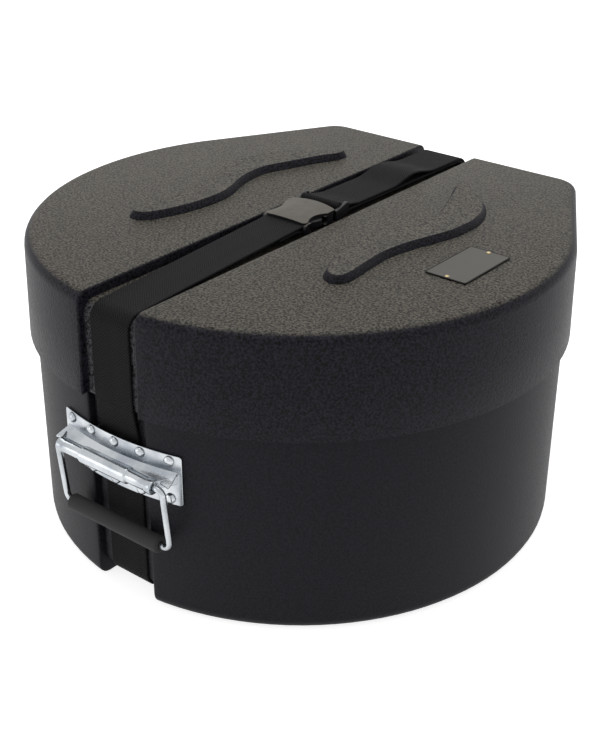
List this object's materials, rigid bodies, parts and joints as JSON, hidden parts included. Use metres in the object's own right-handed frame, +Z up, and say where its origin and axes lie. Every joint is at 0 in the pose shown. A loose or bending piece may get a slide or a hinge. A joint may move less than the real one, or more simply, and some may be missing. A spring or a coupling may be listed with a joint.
{
  "type": "drum case",
  "caption": "D-shaped moulded drum case with a telescoping lid, a web strap and side-release buckle in a channel all round, and a sprung wire handle.",
  "frame": {"origin": "centre of the case's box, handle included, on the surface that it stands on", "axes": "+X to the right when the handle is towards the viewer, +Y from the handle to the flat back, +Z up through the lid"},
  "size_m": [0.4498, 0.4624, 0.2591],
  "materials": {
    "shell_plastic": "pebbled, rotationally moulded polyethylene",
    "foam": "closed-cell foam, matt",
    "webbing": "woven polyester webbing with a slight sheen",
    "buckle_plastic": "satin acetal",
    "zinc_steel": "bright zinc plate on formed steel",
    "grip_rubber": "smooth matt rubber",
    "label_plastic": "satin blank plate",
    "label_rivet": "dull brass"
  },
  "bodies": {
    "base": {"base_shell": "shell_plastic", "floor_pad_left": "foam", "floor_pad_right": "foam", "wall_pad_side_left": "foam", "wall_pad_side_right": "foam", "wall_pad_front_left": "foam", "wall_pad_front_right": "foam", "wall_pad_back_left": "foam", "wall_pad_back_right": "foam", "strap_lower": "webbing", "handle_plate": "zinc_steel", "handle_spring": "zinc_steel", "backing_strip_upper": "zinc_steel", "backing_strip_lower": "zinc_steel", "rivet_upper_1": "zinc_steel", "rivet_upper_2": "zinc_steel", "rivet_upper_3": "zinc_steel", "rivet_upper_4": "zinc_steel", "rivet_upper_5": "zinc_steel", "rivet_lower_1": "zinc_steel", "rivet_lower_2": "zinc_steel", "rivet_lower_3": "zinc_steel", "rivet_lower_4": "zinc_steel", "rivet_lower_5": "zinc_steel", "backing_washer_upper_1": "zinc_steel", "backing_washer_upper_5": "zinc_steel", "backing_washer_lower_1": "zinc_steel", "backing_washer_lower_5": "zinc_steel"},
    "lid": {"lid_shell": "shell_plastic", "lid_pad_left": "foam", "lid_pad_right": "foam", "label_plate": "label_plastic", "label_rivet_front": "label_rivet", "label_rivet_back": "label_rivet", "strap_front": "webbing", "buckle_female": "buckle_plastic", "strap_rear": "webbing"},
    "bail": {"bail": "zinc_steel", "grip": "grip_rubber"},
    "buckle_male": {"buckle_male": "buckle_plastic"},
    "prong_left": {"prong_left": "buckle_plastic"},
    "prong_right": {"prong_right": "buckle_plastic"}
  },
  "joints": [
    {"name": "lid_lift", "type": "slide", "parent": "base", "child": "lid", "axis": [0, 0, 1], "range_m": [0, 0.12]},
    {"name": "bail_swing", "type": "hinge", "parent": "base", "child": "bail", "pos_m": [0, -0.22455, 0.1225], "axis": [-1, 0, 0], "range_deg": [0, 94], "stiffness_Nm_per_rad": 0.12, "springref_deg": -20.05},
    {"name": "buckle_pull", "type": "slide", "parent": "lid", "child": "buckle_male", "axis": [0, 1, 0], "range_m": [0, 0.036], "deforming": ["strap_rear", "prong_left", "prong_right"]},
    {"name": "prong_right_squeeze", "type": "hinge", "parent": "buckle_male", "child": "prong_right", "pos_m": [0.0139, 0.02025, 0.251], "axis": [0, 0, 1], "range_deg": [-8, 0], "stiffness_Nm_per_rad": 0.5},
    {"name": "prong_left_squeeze", "type": "hinge", "parent": "buckle_male", "child": "prong_left", "pos_m": [-0.0139, 0.02025, 0.251], "axis": [0, 0, 1], "range_deg": [0, 8], "stiffness_Nm_per_rad": 0.5}
  ],
  "couplings": [
    {"joint": "prong_left_squeeze", "follows": "prong_right_squeeze", "ratio": -1}
  ]
}
